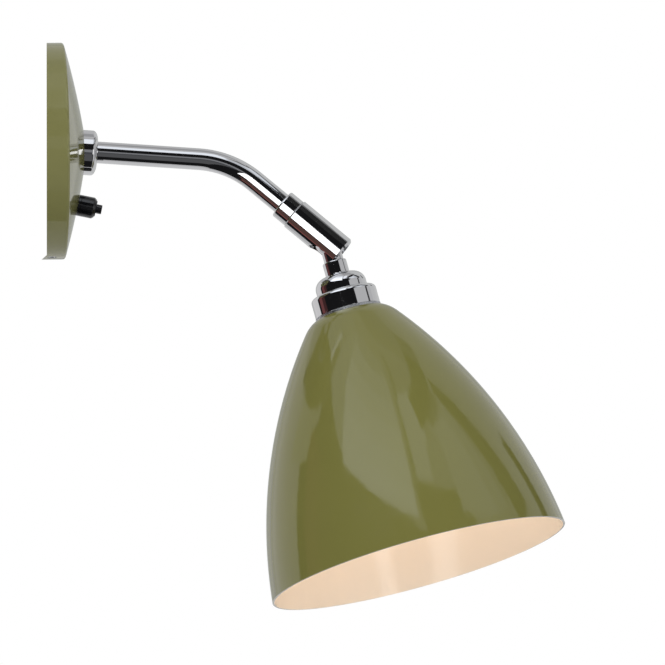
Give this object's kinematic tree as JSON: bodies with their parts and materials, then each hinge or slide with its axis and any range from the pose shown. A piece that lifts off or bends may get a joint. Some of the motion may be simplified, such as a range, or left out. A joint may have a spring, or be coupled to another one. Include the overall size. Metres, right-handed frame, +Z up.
{
  "type": "wall sconce",
  "caption": "Wall light: round domed backplate with a push switch, bent tube arm, slotted ball swivel, stepped lampholder cap and a spun bell shade over a bulb.",
  "frame": {"origin": "on the wall plane, midway between the two wall-screw slots, behind the centre of the round backplate", "axes": "+X straight out from the wall along the backplate's axis, +Z up, +Y sideways; the arm and the shade lie in the XZ plane"},
  "size_m": [0.2627, 0.1536, 0.2882],
  "materials": {
    "chrome": "mirror polished chrome plate on brass and steel",
    "holder_black": "smooth black phenolic moulding",
    "switch_black": "fine satin black moulding",
    "shade_enamel": "gloss olive enamel outside, gloss cream enamel inside",
    "plate_enamel": "gloss olive enamel",
    "zinc": "zinc plated pressed steel",
    "brass": "plain turned brass",
    "spring_steel": "drawn spring steel",
    "ceramic": "white steatite",
    "nylon": "natural polyamide",
    "acetal": "black acetal",
    "flex": "black flex sheath",
    "brown_core": "brown core insulation",
    "blue_core": "blue core insulation",
    "green_core": "green and yellow core insulation",
    "bulb_opal": "opal glass",
    "aluminium": "satin drawn aluminium"
  },
  "bodies": {
    "wall_and_arm": {"wall_bracket": "zinc", "backplate": "plate_enamel", "cover_screws": "zinc", "terminal_block": "nylon", "block_inserts": "brass", "block_screws": "zinc", "block_fixing_screw": "zinc", "earth_screw": "zinc", "earth_lug": "brass", "feed_lead": "brown_core", "live_lead": "brown_core", "neutral_lead": "blue_core", "earth_lead": "green_core", "arm_lock_washer": "zinc", "arm_lock_nut": "brass", "arm_collar": "chrome", "arm_tube": "chrome", "arm_flex": "flex", "arm_coupler": "chrome", "retaining_ring": "spring_steel", "switch_body": "switch_black", "switch_posts": "brass", "switch_washer": "switch_black", "switch_ring_nut": "switch_black", "button_spring": "spring_steel"},
    "button": {"switch_button": "switch_black"},
    "sleeve": {"swivel_sleeve": "chrome", "sleeve_plug": "brass", "friction_spring": "spring_steel", "ball_cup": "acetal"},
    "ball": {"ball_stem": "chrome"},
    "head": {"holder_cap": "chrome", "stem_nut": "brass", "holder_shell": "chrome", "holder_insulator": "ceramic", "holder_terminals": "brass", "contact_plungers": "brass", "holder_skirt": "holder_black", "shade_washer": "zinc", "shade_ring": "holder_black", "shade": "shade_enamel", "head_flex": "flex", "holder_cores": "brown_core", "bulb_cap": "aluminium", "bulb_glass": "bulb_opal"}
  },
  "joints": [
    {"name": "switch_push", "type": "slide", "parent": "wall_and_arm", "child": "button", "axis": [-0.9776, 0, 0.2105], "range_m": [0, 0.002], "stiffness_N_per_m": 700, "springref_m": -0.001, "deforming": ["button_spring"]},
    {"name": "sleeve_turn", "type": "hinge", "parent": "wall_and_arm", "child": "sleeve", "pos_m": [0.12911, 0, -0.03367], "axis": [0.757, 0, -0.6534], "range_deg": [-165, 165]},
    {"name": "ball_tilt", "type": "hinge", "parent": "sleeve", "child": "ball", "pos_m": [0.14622, 0, -0.04843], "axis": [0, 1, 0], "range_deg": [-35, 55]},
    {"name": "head_spin", "type": "hinge", "parent": "ball", "child": "head", "pos_m": [0.15056, 0, -0.06559], "axis": [0.2453, 0, -0.9694], "range_deg": [-175, 175]}
  ]
}
